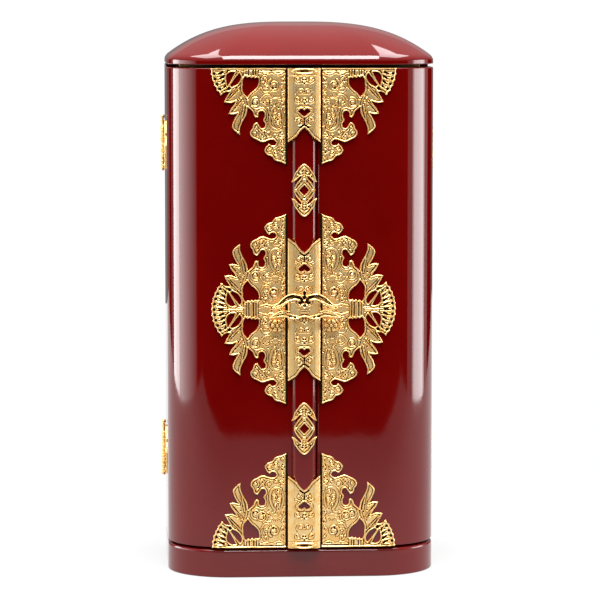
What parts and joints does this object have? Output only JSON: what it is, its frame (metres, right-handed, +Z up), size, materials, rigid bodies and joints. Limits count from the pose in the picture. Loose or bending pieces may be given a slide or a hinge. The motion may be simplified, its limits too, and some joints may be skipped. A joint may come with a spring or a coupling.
{
  "type": "miniature Buddhist shrine",
  "caption": "Small closed lacquered shrine: rounded rectangular case, domed roof, two hinged doors that wrap the front corners, pierced gilt fittings and a turning clasp.",
  "frame": {"origin": "centre of the plinth's flat underside", "axes": "+Z up, the doors face -Y, +X to the viewer's right"},
  "size_m": [0.09, 0.0782, 0.178],
  "materials": {
    "red_lacquer": "wood under polished deep red lacquer, gilded inside",
    "gilt_brass": "chased and gilded brass"
  },
  "bodies": {
    "case": {"base": "red_lacquer", "back_shell": "red_lacquer", "roof": "red_lacquer", "hinge_left_upper_frame_leaf": "gilt_brass", "hinge_left_upper_pin": "gilt_brass", "hinge_left_lower_frame_leaf": "gilt_brass", "hinge_left_lower_pin": "gilt_brass", "hinge_right_upper_frame_leaf": "gilt_brass", "hinge_right_upper_pin": "gilt_brass", "hinge_right_lower_frame_leaf": "gilt_brass", "hinge_right_lower_pin": "gilt_brass"},
    "left_door": {"door_left": "red_lacquer", "batten": "red_lacquer", "batten_cap_top": "gilt_brass", "batten_cap_middle": "gilt_brass", "batten_cap_bottom": "gilt_brass", "lozenge_upper": "gilt_brass", "lozenge_lower": "gilt_brass", "fitting_left_top": "gilt_brass", "fitting_left_middle": "gilt_brass", "fitting_left_bottom": "gilt_brass", "knob_left": "gilt_brass", "hinge_left_upper_door_leaf": "gilt_brass", "hinge_left_lower_door_leaf": "gilt_brass"},
    "right_door": {"door_right": "red_lacquer", "fitting_right_top": "gilt_brass", "fitting_right_middle": "gilt_brass", "fitting_right_bottom": "gilt_brass", "knob_right": "gilt_brass", "hinge_right_upper_door_leaf": "gilt_brass", "hinge_right_lower_door_leaf": "gilt_brass"},
    "clasp": {"clasp": "gilt_brass"}
  },
  "joints": [
    {"name": "left_door_hinge", "type": "hinge", "parent": "case", "child": "left_door", "pos_m": [-0.0442, 0, 0.08665], "axis": [0, 0, -1], "range_deg": [0, 170]},
    {"name": "right_door_hinge", "type": "hinge", "parent": "case", "child": "right_door", "pos_m": [0.0442, 0, 0.08665], "axis": [0, 0, 1], "range_deg": [0, 170]},
    {"name": "clasp_turn", "type": "hinge", "parent": "left_door", "child": "clasp", "pos_m": [0, -0.035, 0.08725], "axis": [0, -1, 0], "range_deg": [0, 90]}
  ]
}
